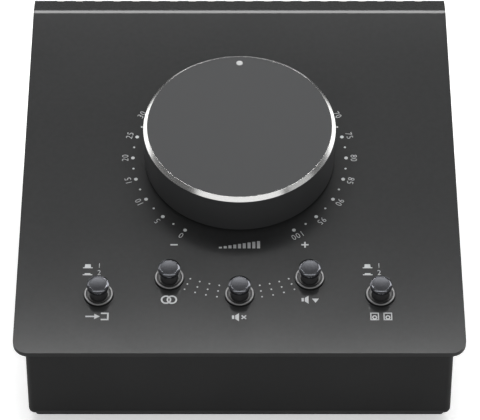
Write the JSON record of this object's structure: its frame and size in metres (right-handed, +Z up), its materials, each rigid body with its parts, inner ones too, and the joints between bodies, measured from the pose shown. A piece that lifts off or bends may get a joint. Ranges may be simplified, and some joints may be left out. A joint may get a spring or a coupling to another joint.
{
  "type": "studio monitor controller",
  "caption": "Desk-top monitor controller: sloping panel with a large volume knob, push buttons and a numbered dial, jack sockets behind",
  "frame": {"origin": "on the surface that the feet stand on, under the middle of the whole object", "axes": "+Z up, +X to the right of someone facing the front, +Y from the front edge to the sockets behind"},
  "size_m": [0.116, 0.125, 0.0609],
  "materials": {
    "cover_paint": "fine satin powder coat",
    "case_paint": "satin black powder coat",
    "plate_paint": "black powder coat",
    "knob_metal": "black anodised, bright cut chamfer",
    "pointer_white": "satin",
    "cap_chrome": "polished",
    "bezel_metal": "turned",
    "black_plastic": "moulded",
    "switch_plastic": "moulded",
    "zinc_steel": "zinc plated",
    "black_steel": "black zinc",
    "spring_steel": "drawn wire",
    "brass": "turned",
    "circuit_board": "solder resist",
    "track_carbon": "printed carbon",
    "wiper_plastic": "moulded",
    "ribbon_grey": "flat cable",
    "foot_rubber": "moulded"
  },
  "bodies": {
    "case": {"base_plate": "plate_paint", "base_screws": "black_steel", "board_screws": "zinc_steel", "board_spacers": "zinc_steel", "cable_headers": "black_plastic", "case_shell": "case_paint", "control_board": "circuit_board", "cover_brackets": "zinc_steel", "dim_bezel": "bezel_metal", "dim_spring": "spring_steel", "dim_switch": "switch_plastic", "jack_board": "circuit_board", "jack_lower_1": "black_plastic", "jack_lower_2": "black_plastic", "jack_lower_3": "black_plastic", "jack_lower_4": "black_plastic", "jack_nuts": "zinc_steel", "jack_pins": "brass", "jack_upper_1": "black_plastic", "jack_upper_2": "black_plastic", "jack_upper_3": "black_plastic", "jack_upper_4": "black_plastic", "monitor_bezel": "bezel_metal", "monitor_spring": "spring_steel", "monitor_switch": "switch_plastic", "mono_bezel": "bezel_metal", "mono_spring": "spring_steel", "mono_switch": "switch_plastic", "mute_bezel": "bezel_metal", "mute_spring": "spring_steel", "mute_switch": "switch_plastic", "pot_case": "switch_plastic", "pot_front": "brass", "pot_nut": "zinc_steel", "pot_tracks": "track_carbon", "pot_washer": "zinc_steel", "rear_panel": "case_paint", "rear_screws": "black_steel", "ribbon_cable": "ribbon_grey", "rubber_feet": "foot_rubber", "side_screws": "black_steel", "source_bezel": "bezel_metal", "source_spring": "spring_steel", "source_switch": "switch_plastic", "top_cover": "cover_paint"},
    "knob": {"volume_knob": "knob_metal", "pointer_dot": "pointer_white", "knob_set_screw": "black_steel", "pot_spindle": "zinc_steel", "pot_wipers": "wiper_plastic"},
    "source_button": {"source_cap": "cap_chrome", "source_plunger": "black_plastic"},
    "mono_button": {"mono_cap": "cap_chrome", "mono_plunger": "black_plastic"},
    "mute_button": {"mute_cap": "cap_chrome", "mute_plunger": "black_plastic"},
    "dim_button": {"dim_cap": "cap_chrome", "dim_plunger": "black_plastic"},
    "monitor_button": {"monitor_cap": "cap_chrome", "monitor_plunger": "black_plastic"}
  },
  "joints": [
    {"name": "volume_turn", "type": "hinge", "parent": "case", "child": "knob", "pos_m": [0, 0.00066, 0.04208], "axis": [0, 0.2334, -0.9724], "range_deg": [-150, 150]},
    {"name": "source_press", "type": "slide", "parent": "case", "child": "source_button", "axis": [0, 0.2334, -0.9724], "range_m": [0, 0.0024], "stiffness_N_per_m": 600, "springref_m": -0.002, "deforming": ["source_spring"]},
    {"name": "mono_press", "type": "slide", "parent": "case", "child": "mono_button", "axis": [0, 0.2334, -0.9724], "range_m": [0, 0.0024], "stiffness_N_per_m": 600, "springref_m": -0.002, "deforming": ["mono_spring"]},
    {"name": "mute_press", "type": "slide", "parent": "case", "child": "mute_button", "axis": [0, 0.2334, -0.9724], "range_m": [0, 0.0024], "stiffness_N_per_m": 600, "springref_m": -0.002, "deforming": ["mute_spring"]},
    {"name": "dim_press", "type": "slide", "parent": "case", "child": "dim_button", "axis": [0, 0.2334, -0.9724], "range_m": [0, 0.0024], "stiffness_N_per_m": 600, "springref_m": -0.002, "deforming": ["dim_spring"]},
    {"name": "monitor_press", "type": "slide", "parent": "case", "child": "monitor_button", "axis": [0, 0.2334, -0.9724], "range_m": [0, 0.0024], "stiffness_N_per_m": 600, "springref_m": -0.002, "deforming": ["monitor_spring"]}
  ]
}
